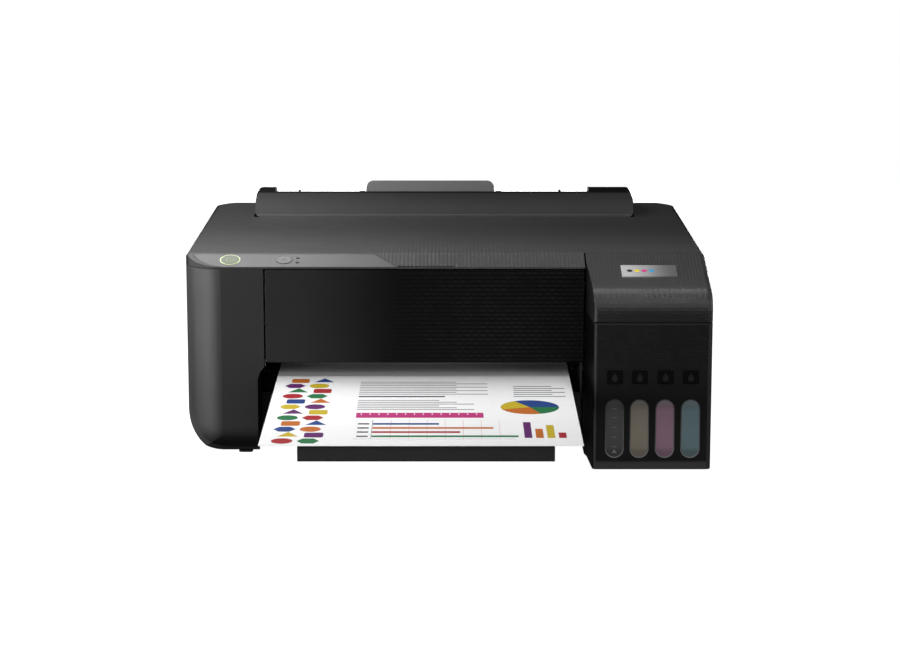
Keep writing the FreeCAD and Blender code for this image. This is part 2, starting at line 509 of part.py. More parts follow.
# ---------------------------------------------------------------- frame and carriage drive
mf = box(-171, 179.5, 158, 159.5, 30, 129.5).fuse(box(-171, 179.5, 146, 159.5, 128, 129.5))
mf = mf.fuse(box(-171, -169.5, 50, 159, 12, 128.5))
mf = mf.fuse(box(178, 179.5, 118, 159, 60, 128.5))
mf = mf.fuse(box(100, 101.5, 50, 159, 4.5, 60.0))
mf = mf.fuse(box(-130, -126, 156, 159.5, 4.5, 32))
SHAFT_AX = (139.0, 85.0)
PUL = (165.0, 110.0)
IDP = (-158.0, 110.0)
mf = mf.fuse(cylx(-178, -170, IDL_AX[0], IDL_AX[1], 2.0))
mf = mf.fuse(cyly(IDP[0], 145.2, 158.5, IDP[1], 2.0))
for c, r in ((FEED_AX, 3.05), (EJECT_AX, 2.55)):
    mf = mf.cut(cylx(-175, -165, c[0], c[1], r)).cut(cylx(99, 103, c[0], c[1], r))
mf = mf.cut(cylx(-173, -165, PIN_AX[0], PIN_AX[1], 2.2))
mf = mf.cut(cylx(-173, -165, SHAFT_AX[0], SHAFT_AX[1], 4.0)).cut(cylx(176, 182, SHAFT_AX[0], SHAFT_AX[1], 4.0))
mf = mf.cut(cyly(PUL[0], 150, 165, PUL[1], 2.6))
for k in range(6):
    mf = mf.cut(box(-120 + k * 42, -100 + k * 42, 150, 165, 45, 75))
save("main_frame", mf.removeSplitter())
save("carriage_guide_shaft", cylx(-172.5, 181, SHAFT_AX[0], SHAFT_AX[1], 4.0))
save("encoder_strip", box(-169.3, 177.8, 128.0, 128.3, 114.5, 122.0))

cr = box(108, 172, 80, 144.4, 63, 125)
cr = cr.cut(box(111, 169, 83, 122, 70, 130)).cut(box(100, 180, 126.8, 129.5, 113.3, 130))
cr = cr.cut(box(119.7, 160.3, 87.7, 118.3, 60, 67.2))
cr = cr.cut(box(100, 180, 122, 146, 60, 74)).cut(box(100, 180, 131.5, 146, 95.5, 130))
cr = cr.fuse(box(136, 144, 128, 153.6, 98.6, 107.4).cut(box(130, 150, 145.8, 152.7, 102.2, 104.3)).cut(
    box(130, 150, 120, 130.6, 107, 110)))
cr = cr.cut(cylx(100, 180, SHAFT_AX[0], SHAFT_AX[1], 4.05))
save("carriage", cr.removeSplitter())
save("print_head", box(120, 160, 88, 118, 61.4, 67.2))

mp = cyly(PUL[0], 145.9, 152.5, PUL[1], 6.0).fuse(cyly(PUL[0], 145.2, 145.9, PUL[1], 8.2)).fuse(
    cyly(PUL[0], 152.5, 153.2, PUL[1], 8.2)).fuse(cyly(PUL[0], 153, 170, PUL[1], 2.0))
save("motor_pulley", mp.removeSplitter())
ip = cyly(IDP[0], 145.9, 152.5, IDP[1], 6.0).fuse(cyly(IDP[0], 145.2, 145.9, IDP[1], 8.2)).fuse(
    cyly(IDP[0], 152.5, 153.2, IDP[1], 8.2))
save("idler_pulley", ip.cut(cyly(IDP[0], 140, 160, IDP[1], 2.05)).removeSplitter())
save("carriage_motor", cyly(PUL[0], 159.5, 190, PUL[1], 15.0).cut(cyly(PUL[0], 159, 171, PUL[1], 2.05)))


def belt_loop(r, y0, y1):
    b = box(IDP[0], PUL[0], y0, y1, IDP[1] - r, IDP[1] + r)
    return b.fuse(cyly(IDP[0], y0, y1, IDP[1], r)).fuse(cyly(PUL[0], y0, y1, PUL[1], r)).removeSplitter()


save("timing_belt", belt_loop(7.4, 146.4, 152.0).cut(belt_loop(6.4, 140, 160)))

# ---------------------------------------------------------------- maintenance station, electronics, tubes, screws
mt = box(112, 176, 82, 136, 4.5, 46).cut(box(114, 174, 84, 134, 6.5, 60))
save("maintenance_frame", mt)
cc = box(122, 158, 86, 120, 30, 60.6).cut(box(124, 156, 88, 118, 55, 62))
save("capping_cap", cc)
mb = box(-144, -30, 172, 282.6, 10, 11.6)
for sx, sy in ((-140, 176), (-36, 176), (-140, 276), (-36, 276)):
    mb = mb.fuse(cylz(sx, sy, 4.5, 10.2, 3))
mb = mb.fuse(box(-110, -86, 210, 234, 11, 14)).fuse(box(-70, -58, 215, 227, 11, 13)).fuse(box(-135, -125, 190, 250, 11, 18)) \
    .fuse(cylz(-50, 200, 11, 24, 5)).fuse(cylz(-38, 200, 11, 24, 5))
save("main_board", mb.removeSplitter())
save("power_supply", prism("xy", [(30, 200, 3), (140, 200, 3), (140, 286, 3), (30, 286, 3)], 4.5, 42))
ai = box(117.5, 144.5, 295.6, 297.3, 9.5, 30.5).fuse(box(119.3, 142.7, 286.2, 299.7, 11.3, 28.7))
ai = ai.cut(cyly(127, 289, 301, 20, 4.3)).cut(cyly(135, 289, 301, 20, 4.3)).cut(box(127, 135, 289, 301, 16.5, 23.5))
ai = ai.fuse(cyly(127, 288, 297, 20, 1.2)).fuse(cyly(135, 288, 297, 20, 1.2))
save("ac_inlet", ai.removeSplitter())
up = box(-60.7, -45.3, 283.0, 299.6, 14.3, 27.7).cut(box(-57.2, -48.8, 288, 301, 16.8, 25.2)).fuse(
    box(-55.4, -50.6, 287, 297, 19.4, 22.6))
save("usb_port", up.removeSplitter())
tubes = []
for i, cx in enumerate(TANK_CX):
    ty = 62.0 + 4.0 * i
    t = cyly(cx, 16, ty, 12, 1.6).fuse(Part.makeSphere(1.6, V(cx, ty, 12))).fuse(cylz(cx, ty, 12, 132, 1.6))
    t = t.fuse(Part.makeSphere(1.6, V(cx, ty, 132))).fuse(cylx(0, cx, ty, 132, 1.6))
    tubes.append(t.removeSplitter())
save("ink_tubes", Part.makeCompound(tubes))
scr = [cyly(sx, 298.5, 299.6, sz, 3.6).fuse(cyly(sx, 288, 298.6, sz, 1.55)).cut(
    box(sx - 2.4, sx + 2.4, 299.0, 301, sz - 0.4, sz + 0.4)).cut(
    box(sx - 0.4, sx + 0.4, 299.0, 301, sz - 2.4, sz + 2.4)).removeSplitter() for sx, sz in SCREWS]
save("housing_screws", Part.makeCompound(scr))
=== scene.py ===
import bpy, bmesh, math
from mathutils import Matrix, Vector


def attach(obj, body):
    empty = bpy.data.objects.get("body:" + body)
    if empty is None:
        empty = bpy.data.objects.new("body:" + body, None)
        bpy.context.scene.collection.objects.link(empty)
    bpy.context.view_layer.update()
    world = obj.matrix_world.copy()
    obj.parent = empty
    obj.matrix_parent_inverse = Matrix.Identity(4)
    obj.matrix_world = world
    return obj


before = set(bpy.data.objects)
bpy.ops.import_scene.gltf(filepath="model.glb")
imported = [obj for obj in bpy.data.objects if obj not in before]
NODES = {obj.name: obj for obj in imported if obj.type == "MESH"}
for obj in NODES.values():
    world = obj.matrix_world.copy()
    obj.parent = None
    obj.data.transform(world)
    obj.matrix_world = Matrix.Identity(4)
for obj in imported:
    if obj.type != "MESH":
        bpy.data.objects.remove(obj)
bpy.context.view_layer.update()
YS = -52.0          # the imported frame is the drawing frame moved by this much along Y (mm)
scene = bpy.context.scene
scene.view_settings.view_transform = "Standard"
scene.view_settings.look = "None"


def W(x, y, z):
    # drawing millimetres to scene metres
    return Vector((x / 1000.0, (y + YS) / 1000.0, z / 1000.0))


# ---------------------------------------------------------------- camera
cam = bpy.data.cameras.new("camera")
cam.sensor_width = 36.0
cam.lens = 2521.0 / 900.0 * 36.0
cam.shift_x = 5.0 / 900.0
cam.clip_end = 50
cam_o = bpy.data.objects.new("camera", cam)
cam_o.location = W(0, -1775.9, 434.7)
cam_o.rotation_euler = (math.radians(90 - 10.8), 0, 0)
scene.collection.objects.link(cam_o)
scene.camera = cam_o


# ---------------------------------------------------------------- material helpers
class Nodes:
    def __init__(self, name):
        self.m = bpy.data.materials.new(name)
        self.m.use_nodes = True
        self.t = self.m.node_tree
        self.t.nodes.clear()
        self.out = self.add("ShaderNodeOutputMaterial")
        self.b = self.add("ShaderNodeBsdfPrincipled")
        self.link(self.b.outputs["BSDF"], self.out.inputs["Surface"])
        self.tc = self.add("ShaderNodeTexCoord")
        self.xyz = self.add("ShaderNodeSeparateXYZ")
        self.link(self.tc.outputs["Object"], self.xyz.inputs[0])

    def add(self, kind, **kw):
        n = self.t.nodes.new(kind)
        for k, v in kw.items():
            setattr(n, k, v)
        return n

    def link(self, a, b):
        self.t.links.new(a, b)

    def math(self, op, a, b=None, c=None, clamp=False):
        n = self.add("ShaderNodeMath", operation=op, use_clamp=clamp)
        for i, v in enumerate((a, b, c)):
            if v is None:
                continue
            if isinstance(v, (int, float)):
                n.inputs[i].default_value = v
            else:
                self.link(v, n.inputs[i])
        return n.outputs[0]

    def noise(self, scale, detail=3.0, rough=0.55):
        n = self.add("ShaderNodeTexNoise")
        n.inputs["Scale"].default_value = scale
        n.inputs["Detail"].default_value = detail
        n.inputs["Roughness"].default_value = rough
        self.link(self.tc.outputs["Object"], n.inputs["Vector"])
        return n.outputs["Fac"]

    def ramp(self, fac, stops):
        n = self.add("ShaderNodeValToRGB")
        e = n.color_ramp.elements
        while len(e) < len(stops):
            e.new(0.5)
        for el, (p, c) in zip(e, stops):
            el.position = p
            el.color = (c[0], c[1], c[2], 1)
        self.link(fac, n.inputs[0])
        return n.outputs["Color"]

    def mix(self, fac, a, b):
        n = self.add("ShaderNodeMix", data_type="RGBA")
        for v, s in ((fac, n.inputs[0]), (a, n.inputs[6]), (b, n.inputs[7])):
            if isinstance(v, tuple):
                s.default_value = (v[0], v[1], v[2], 1)
            elif isinstance(v, (int, float)):
                s.default_value = v
            else:
                self.link(v, s)
        return n.outputs[2]

    def smooth(self, v, lo, hi):
        n = self.add("ShaderNodeMapRange", interpolation_type="SMOOTHSTEP")
        self.link(v, n.inputs["Value"])
        n.inputs["From Min"].default_value = lo
        n.inputs["From Max"].default_value = hi
        return n.outputs["Result"]


def grey(c, k):
    return (c[0] * k, c[1] * k, c[2] * k)


def plastic(name, col, rough=0.5, spec=0.35, grain=900.0, gbump=0.12, var=0.10, bevel=0.0004, pattern=None, pbump=0.0, pcol=0.0, pk=1.9, painted_fade=None, tint=None, shine=None):
    """moulded plastic: cloudy colour, fine spark-eroded grain, softened edges, optional relief pattern"""
    n = Nodes(name)
    cloud = n.noise(14.0, 4.0)
    col_out = n.ramp(cloud, [(0.25, grey(col, 1 - var)), (0.75, grey(col, 1 + var))])
    if painted_fade:
        # painted shade: the panel darkens by the factor k from x0 to x1, towards its textured part
        x0, x1, k = painted_fade
        col_out = n.mix(n.smooth(n.xyz.outputs["X"], x0, x1), col_out, n.ramp(cloud, [(0.25, grey(col, k * (1 - var))), (0.75, grey(col, k * (1 + var)))]))
    fine = n.noise(grain, 2.0)
    pat = pattern(n) if pattern else None
    if pat is not None and pcol:
        col_out = n.mix(n.math("MULTIPLY", pat, pcol), col_out, grey(col, pk))
    if tint:
        col_out = tint(n, col_out, col)
    n.link(col_out, n.b.inputs["Base Color"])
    r = n.add("ShaderNodeMapRange")
    n.link(n.noise(60.0, 3.0), r.inputs["Value"])
    r.inputs["To Min"].default_value = rough - 0.05
    r.inputs["To Max"].default_value = rough + 0.06
    n.link(r.outputs["Result"], n.b.inputs["Roughness"])
    n.b.inputs["Specular IOR Level"].default_value = spec
    if shine:
        n.link(n.math("MULTIPLY", shine(n), spec), n.b.inputs["Specular IOR Level"])
    bev = n.add("ShaderNodeBevel")
    bev.samples = 4
    bev.inputs["Radius"].default_value = bevel
    bp = n.add("ShaderNodeBump")
    bp.inputs["Strength"].default_value = gbump
    bp.inputs["Distance"].default_value = 0.0002
    n.link(fine, bp.inputs["Height"])
    n.link(bev.outputs[0], bp.inputs["Normal"])
    last = bp.outputs[0]
    if pat is not None and pbump:
        b2 = n.add("ShaderNodeBump")
        b2.inputs["Strength"].default_value = pbump
        b2.inputs["Distance"].default_value = 0.0004
        n.link(pat, b2.inputs["Height"])
        n.link(last, b2.inputs["Normal"])
        last = b2.outputs[0]
    n.link(last, n.b.inputs["Normal"])
    return n.m


def metal(name, col, rough=0.3, stretch=(1, 1, 1)):
    n = Nodes(name)
    mp = n.add("ShaderNodeMapping")
    mp.inputs["Scale"].default_value = stretch
    n.link(n.tc.outputs["Object"], mp.inputs[0])
    ns = n.add("ShaderNodeTexNoise")
    ns.inputs["Scale"].default_value = 300.0
    ns.inputs["Detail"].default_value = 4.0
    n.link(mp.outputs[0], ns.inputs["Vector"])
    n.link(n.ramp(ns.outputs["Fac"], [(0.3, grey(col, 0.85)), (0.7, grey(col, 1.08))]), n.b.inputs["Base Color"])
    n.b.inputs["Metallic"].default_value = 1.0
    r = n.add("ShaderNodeMapRange")
    n.link(ns.outputs["Fac"], r.inputs["Value"])
    r.inputs["To Min"].default_value = rough - 0.08
    r.inputs["To Max"].default_value = rough + 0.12
    n.link(r.outputs["Result"], n.b.inputs["Roughness"])
    return n.m


# relief patterns, as functions of the place on the object (metres)
def wave(n, v, pitch, amp=0.5, off=0.5):
    return n.math("MULTIPLY_ADD", n.math("SINE", n.math("MULTIPLY", v, 2 * math.pi / pitch)), amp, off)


def uneven(n, scale, lo, hi):
    return n.smooth(n.noise(scale, 2.0), lo, hi)


def ribs(n):
    # fine lines running front to back on the top, fading to the left and to the rear
    x, y = n.xyz.outputs["X"], n.xyz.outputs["Y"]
    s = wave(n, x, 0.0028)
    mx = n.smooth(x, -0.090, -0.010)
    my = n.math("SUBTRACT", 1.0, n.math("MULTIPLY", n.smooth(y, -0.034, 0.050), 0.92))
    return n.math("MULTIPLY", n.math("MULTIPLY", s, n.math("MULTIPLY_ADD", uneven(n, 150.0, 0.35, 0.65), 0.7, 0.3)), n.math("MULTIPLY", mx, my))


def scale_rows(n, h, rows, waves, arch=0.35):
    """staggered rows of short arched dashes"""
    x = n.xyz.outputs["X"]
    u = n.math("MULTIPLY", x, 1.0 / waves)
    v = n.math("MULTIPLY", h, 1.0 / rows)
    odd = n.math("FLOORED_MODULO", n.math("FLOOR", v), 2.0)
    u2 = n.math("ADD", u, n.math("MULTIPLY", odd, 0.5))
    hump = n.math("SINE", n.math("MULTIPLY", n.math("FRACT", u2), math.pi))
    f = n.math("SUBTRACT", n.math("FRACT", v), n.math("MULTIPLY", hump, arch))
    d = n.math("ABSOLUTE", n.math("SUBTRACT", f, 0.3))
    line = n.math("SUBTRACT", 1.0, n.smooth(d, 0.06, 0.30))
    dash = n.math("MULTIPLY", line, n.smooth(hump, 0.15, 0.7))
    return n.math("MULTIPLY", dash, n.math("MULTIPLY_ADD", uneven(n, 140.0, 0.36, 0.62), 0.8, 0.2))


def staggered_rows(n, h, rows, waves):
    """close rows parted by thin grooves, each row swelling and thinning along its length"""
    v = n.math("MULTIPLY", h, 1.0 / rows)
    odd = n.math("FLOORED_MODULO", n.math("FLOOR", v), 2.0)
    u = n.math("ADD", n.math("MULTIPLY", n.xyz.outputs["X"], 1.0 / waves), n.math("MULTIPLY", odd, 0.5))
    swell = n.math("MULTIPLY_ADD", n.math("SINE", n.math("MULTIPLY", u, 2 * math.pi)), 0.5, 0.5)
    f = n.math("ABSOLUTE", n.math("SUBTRACT", n.math("FRACT", v), 0.5))
    groove = n.math("SUBTRACT", 1.0, n.smooth(f, 0.12, 0.46))
    deep = n.math("MULTIPLY", uneven(n, 110.0, 0.34, 0.62), swell)
    return n.math("MULTIPLY", groove, n.math("MULTIPLY_ADD", deep, 0.55, 0.45))


def cover_waves(n):
    return n.math("MULTIPLY", staggered_rows(n, n.xyz.outputs["Z"], 0.0030, 0.0058), n.smooth(n.xyz.outputs["X"], -0.075, 0.045))


def tank_waves(n):
    return n.math("MULTIPLY", scale_rows(n, n.xyz.outputs["Z"], 0.00185, 0.0038, 0.2), n.smooth(n.xyz.outputs["Z"], 0.048, 0.085))


def tank_cover_waves(n):
    # lines along the slope, turning into rows of scales round the front
    x, y, z = n.xyz.outputs["X"], n.xyz.outputs["Y"], n.xyz.outputs["Z"]
    m = n.smooth(y, -0.092, -0.072)
    lines = n.math("MULTIPLY", wave(n, x, 0.0024), n.math("MULTIPLY_ADD", uneven(n, 160.0, 0.35, 0.65), 0.6, 0.3))
    rows = scale_rows(n, n.math("SUBTRACT", z, n.math("MULTIPLY", y, 0.8)), 0.0021, 0.0038, 0.2)
    return n.math("ADD", n.math("MULTIPLY", lines, m), n.math("MULTIPLY", rows, n.math("SUBTRACT", 1.0, m)))


# shades of a moulding that change over the surface
def left_side(n):
    # mask of the faces turned to the left, used for painted shade
    sep = n.add("ShaderNodeSeparateXYZ")
    n.link(n.tc.outputs["Normal"], sep.inputs[0])
    return n.smooth(n.math("MULTIPLY", sep.outputs["X"], -1.0), 0.50, 0.85)


def cover_painted_shade(n, c, col):
    # painted shade: the lower front darkened, the slope darkened a little, the left-facing side made near black
    z = n.xyz.outputs["Z"]
    c = n.mix(n.math("SUBTRACT", 1.0, n.smooth(z, 0.1115, 0.1225)), c, grey(col, 0.26))
    c = n.mix(n.math("MULTIPLY", n.smooth(z, 0.1235, 0.1335), 0.30), c, grey(col, 0.45))
    return n.mix(left_side(n), c, grey(col, 0.06))


def corner(n):
    # mask of the rounded upright corners of the front, where a painted highlight goes
    sep = n.add("ShaderNodeSeparateXYZ")
    n.link(n.tc.outputs["Normal"], sep.inputs[0])
    return n.smooth(n.math("ABSOLUTE", n.math("MULTIPLY", sep.outputs["X"], sep.outputs["Y"])), 0.12, 0.30)


def tank_painted_light(n, c, col):
    # painted shade on the left-facing side; painted highlights along the foot, along the top edge under the seam and
    # on the rounded upright corners
    c = n.mix(n.math("SUBTRACT", 1.0, n.smooth(n.xyz.outputs["Z"], 0.0055, 0.0080)), c, grey(col, 4.5))
    c = n.mix(n.smooth(n.xyz.outputs["Z"], 0.1049, 0.1053), c, grey(col, 3.0))
    c = n.mix(corner(n), c, grey(col, 3.2))
    return n.mix(left_side(n), c, grey(col, 0.04))


def foot(n):
    # 1 at the foot of the casing, 0 from 24 mm up
    return n.math("SUBTRACT", 1.0, n.smooth(n.xyz.outputs["Z"], 0.0085, 0.0240))


def foot_edge_highlight(n):
    # narrow band along the outer edge, up the left side, round the lower corner and along the bottom, for a painted
    # highlight
    dx = n.math("MINIMUM", n.math("ADD", n.xyz.outputs["X"], 0.1555), 0.0)
    dz = n.math("MINIMUM", n.math("SUBTRACT", n.xyz.outputs["Z"], 0.0332), 0.0)
    d = n.math("SQRT", n.math("ADD", n.math("MULTIPLY", dx, dx), n.math("MULTIPLY", dz, dz)))
    return n.smooth(d, 0.0268, 0.0292)


def foot_shine(n):
    return n.math("SUBTRACT", 1.0, n.math("MULTIPLY", foot(n), 0.85))


def foot_painted_light(n, c, col):
    # painted shade darkening the foot, painted highlight along the lower outer edge
    c = n.mix(n.math("MULTIPLY", foot(n), 0.5), c, grey(col, 0.4))
    return n.mix(n.math("MULTIPLY", foot_edge_highlight(n), 0.8), c, grey(col, 3.6))


def top_painted_light(n, c, col):
    # painted shade darkening the top towards the rear, a painted highlight along the fold line across the top, and
    # painted shade as a black rim along both sides
    c = n.mix(n.math("MULTIPLY", n.smooth(n.xyz.outputs["Y"], -0.035, 0.11), 0.57), c, grey(col, 0.1))
    fold_highlight = n.math("SUBTRACT", 1.0, n.smooth(n.math("ABSOLUTE", n.math("ADD", n.xyz.outputs["Y"], 0.0318)), 0.0004, 0.0016))
    c = n.mix(n.math("MULTIPLY", fold_highlight, 0.5), c, grey(col, 1.7))
    return n.mix(n.smooth(n.math("ABSOLUTE", n.xyz.outputs["X"]), 0.1846, 0.1852), c, grey(col, 0.04))


def panel_painted_shade(n, c, col):
    # painted shade: darker towards the left end
    return n.mix(n.math("SUBTRACT", 1.0, n.smooth(n.xyz.outputs["X"], -0.18, -0.02)), c, grey(col, 0.68))


def guard_top(n):
    # mask of the guard's top edge, used for painted shade
    return n.smooth(n.xyz.outputs["Z"], 0.1604, 0.1618)


def guard_shine(n):
    return n.math("SUBTRACT", 1.0, n.math("MULTIPLY", guard_top(n), 0.9))


def guard_painted_light(n, c, col):
    # painted shade darkening towards the top and at the top edge, a painted highlight line along the foot
    z = n.xyz.outputs["Z"]
    c = n.mix(n.smooth(z, 0.1490, 0.1622), c, grey(col, 0.25))
    c = n.mix(guard_top(n), c, grey(col, 0.18))
    line = n.math("SUBTRACT", 1.0, n.smooth(n.math("ABSOLUTE", n.math("SUBTRACT", z, 0.14510)), 0.0003, 0.0006))
    return n.mix(line, c, grey(col, 2.0))


M = {}
M["casing_black"] = plastic("casing_black", (0.0080, 0.0080, 0.0082), 0.45, 0.50, tint=foot_painted_light, shine=foot_shine)
M["tank_black"] = plastic("tank_black", (0.0096, 0.0096, 0.0098), 0.45, 0.09, pattern=tank_waves, pbump=0.35, pcol=0.6, pk=2.6, tint=tank_painted_light)
M["casing_top"] = plastic("casing_top", (0.0425, 0.0425, 0.0430), 0.50, 0.22, pattern=ribs, pbump=0.35, pcol=0.5, pk=1.8, tint=top_painted_light)
# painted shade: the front cover darkens towards its right
M["cover_black"] = plastic("cover_black", (0.0220, 0.0220, 0.0223), 0.48, 0.06, pattern=cover_waves, pbump=0.35, pcol=0.75, pk=0.55, painted_fade=(-0.125, -0.02, 0.085))
M["tank_cover"] = plastic("tank_cover", (0.0375, 0.0375, 0.0380), 0.42, 0.35, pattern=tank_cover_waves, pbump=0.4, pcol=0.5, pk=1.9, tint=cover_painted_shade)
M["feeder_black"] = plastic("feeder_black", (0.0030, 0.0030, 0.0031), 0.65, 0.03)
M["tile_black"] = plastic("tile_black", (0.0030, 0.0030, 0.0031), 0.40, 0.10)
M["panel_grey"] = plastic("panel_grey", (0.083, 0.083, 0.0865), 0.45, 0.3, var=0.05, gbump=0.06, tint=panel_painted_shade)
M["light_grey"] = plastic("light_grey", (0.080, 0.080, 0.083), 0.5, 0.3, var=0.06)
M["guard_grey"] = plastic("guard_grey", (0.0215, 0.0215, 0.0218), 0.50, 0.20, tint=guard_painted_light, shine=guard_shine)
M["tray_black"] = plastic("tray_black", (0.0200, 0.0200, 0.0203), 0.45, 0.30)
M["button_dark"] = plastic("button_dark", (0.070, 0.092, 0.048), 0.45, 0.4, var=0.08)
M["feed_button"] = plastic("feed_button", (0.079, 0.079, 0.0825), 0.42, 0.35, var=0.06)
M["inner_plastic"] = plastic("inner_plastic", (0.006, 0.006, 0.0062), 0.6, 0.2)
M["port_black"] = plastic("port_black", (0.012, 0.012, 0.013), 0.4, 0.4)
M["rubber"] = plastic("rubber", (0.012, 0.012, 0.012), 0.8, 0.2, grain=500, gbump=0.3)
M["gear_white"] = plastic("gear_white", (0.62, 0.60, 0.55), 0.4, 0.4, var=0.04)
M["board_green"] = plastic("board_green", (0.010, 0.045, 0.022), 0.4, 0.4, grain=220, gbump=0.25, var=0.25)
M["steel"] = metal("steel", (0.55, 0.55, 0.56), 0.32, (0.05, 1, 1))
n = Nodes("badge_silver")
brushed = n.add("ShaderNodeMapping")
brushed.inputs["Scale"].default_value = (0.04, 1, 1)
n.link(n.tc.outputs["Object"], brushed.inputs[0])
streak = n.add("ShaderNodeTexNoise")
streak.inputs["Scale"].default_value = 900.0
n.link(brushed.outputs[0], streak.inputs["Vector"])
n.link(n.ramp(n.math("MULTIPLY_ADD", streak.outputs["Fac"], 0.08, n.smooth(n.xyz.outputs["X"], 0.124, 0.166)),
              [(0.0, (0.62, 0.62, 0.63)), (0.45, (0.42, 0.42, 0.43)), (0.75, (0.25, 0.25, 0.255)), (1.0, (0.135, 0.135, 0.138))]), n.b.inputs["Base Color"])
n.b.inputs["Roughness"].default_value = 0.35
n.b.inputs["Metallic"].default_value = 0.2
M["badge_silver"] = n.m
for k, c in (("black", (0.02, 0.02, 0.02)), ("yellow", (0.55, 0.44, 0.03)), ("magenta", (0.42, 0.04, 0.22)), ("cyan", (0.03, 0.28, 0.46))):
    M["cap_" + k] = plastic("cap_" + k, c, 0.7, 0.25, grain=500)


def lit(name, col, power):
    n = Nodes(name)
    c = n.ramp(n.noise(90.0), [(0.3, grey(col, 0.9)), (0.7, grey(col, 1.06))])
    n.link(c, n.b.inputs["Base Color"])
    n.link(c, n.b.inputs["Emission Color"])
    n.b.inputs["Emission Strength"].default_value = power
    n.b.inputs["Roughness"].default_value = 0.35
    return n.m


M["lit_ring"] = lit("lit_ring", (0.47, 0.56, 0.27), 0.12)
M["led_clear"] = plastic("led_clear", (0.012, 0.012, 0.013), 0.6, 0.08)


def tank(name, ink, empty, level):
    """milky tank wall: ink colour up to the level, paler above, darker towards the foot as painted shade"""
    n = Nodes(name)
    up = n.math("ADD", n.xyz.outputs["Z"], n.math("MULTIPLY", n.noise(120.0), 0.0006))
    f = n.smooth(up, level - 0.0025, level + 0.0015)
    body = n.ramp(n.smooth(n.xyz.outputs["Z"], 0.009, 0.050), [(0.0, grey(ink, 0.60)), (0.04, grey(ink, 0.62)), (0.10, grey(ink, 0.92)), (0.5, grey(ink, 1.0)), (0.93, grey(ink, 1.06)), (1.0, grey(ink, 0.86))])
    n.link(n.mix(f, body, empty), n.b.inputs["Base Color"])
    n.b.inputs["Roughness"].default_value = 0.3
    n.b.inputs["Specular IOR Level"].default_value = 0.45
    n.b.inputs["Coat Weight"].default_value = 0.15
    bp = n.add("ShaderNodeBump")
    bp.inputs["Strength"].default_value = 0.08
    bp.inputs["Distance"].default_value = 0.0002
    n.link(n.noise(700.0), bp.inputs["Height"])
    n.link(bp.outputs[0], n.b.inputs["Normal"])
    return n.m


M["tank_k"] = tank("tank_k", (0.068, 0.068, 0.069), (0.079, 0.079, 0.082), 0.0475)
M["tank_y"] = tank("tank_y", (0.213, 0.186, 0.150), (0.178, 0.170, 0.158), 0.0480)
M["tank_m"] = tank("tank_m", (0.252, 0.154, 0.207), (0.198, 0.174, 0.187), 0.0480)
M["tank_c"] = tank("tank_c", (0.128, 0.189, 0.208), (0.150, 0.186, 0.198), 0.0480)
# window rims: painted highlight at the foot of each rim, fading to painted shade at its top
n = Nodes("rim")
n.link(n.ramp(n.smooth(n.math("ADD", n.xyz.outputs["Z"], n.math("MULTIPLY", n.noise(300.0), 0.0008)), 0.0095, 0.0520),
              [(0.0, (0.17, 0.17, 0.175)), (0.10, (0.10, 0.10, 0.103)), (0.85, (0.072, 0.072, 0.074)), (1.0, (0.035, 0.035, 0.036))]), n.b.inputs["Base Color"])
n.b.inputs["Roughness"].default_value = 0.3
n.b.inputs["Specular IOR Level"].default_value = 0.5
M["rim"] = n.m
M["mark"] = plastic("mark", (0.17, 0.17, 0.175), 0.4, 0.4)
M["symbol"] = plastic("symbol", (0.012, 0.012, 0.0125), 0.5, 0.2)
M["symbol_pale"] = plastic("symbol_pale", (0.17, 0.23, 0.115), 0.5, 0.3)
M["symbol_grey"] = plastic("symbol_grey", (0.112, 0.112, 0.118), 0.5, 0.3)
n = Nodes("film_clear")
n.link(n.ramp(n.noise(400.0), [(0.3, (0.10, 0.10, 0.10)), (0.7, (0.16, 0.16, 0.16))]), n.b.inputs["Base Color"])
n.b.inputs["Roughness"].default_value = 0.2
M["film_clear"] = n.m


def paper(name, col, var=0.015):
    n = Nodes(name)
    n.link(n.ramp(n.noise(180.0, 5.0), [(0.3, grey(col, 1 - var)), (0.7, grey(col, 1 + var))]), n.b.inputs["Base Color"])
    n.b.inputs["Roughness"].default_value = 0.75
    n.b.inputs["Specular IOR Level"].default_value = 0.2
    bp = n.add("ShaderNodeBump")
    bp.inputs["Strength"].default_value = 0.05
    bp.inputs["Distance"].default_value = 0.0001
    n.link(n.noise(1400.0), bp.inputs["Height"])
    n.link(bp.outputs[0], n.b.inputs["Normal"])
    return n.m


M["paper"] = paper("paper", (0.93, 0.93, 0.93))

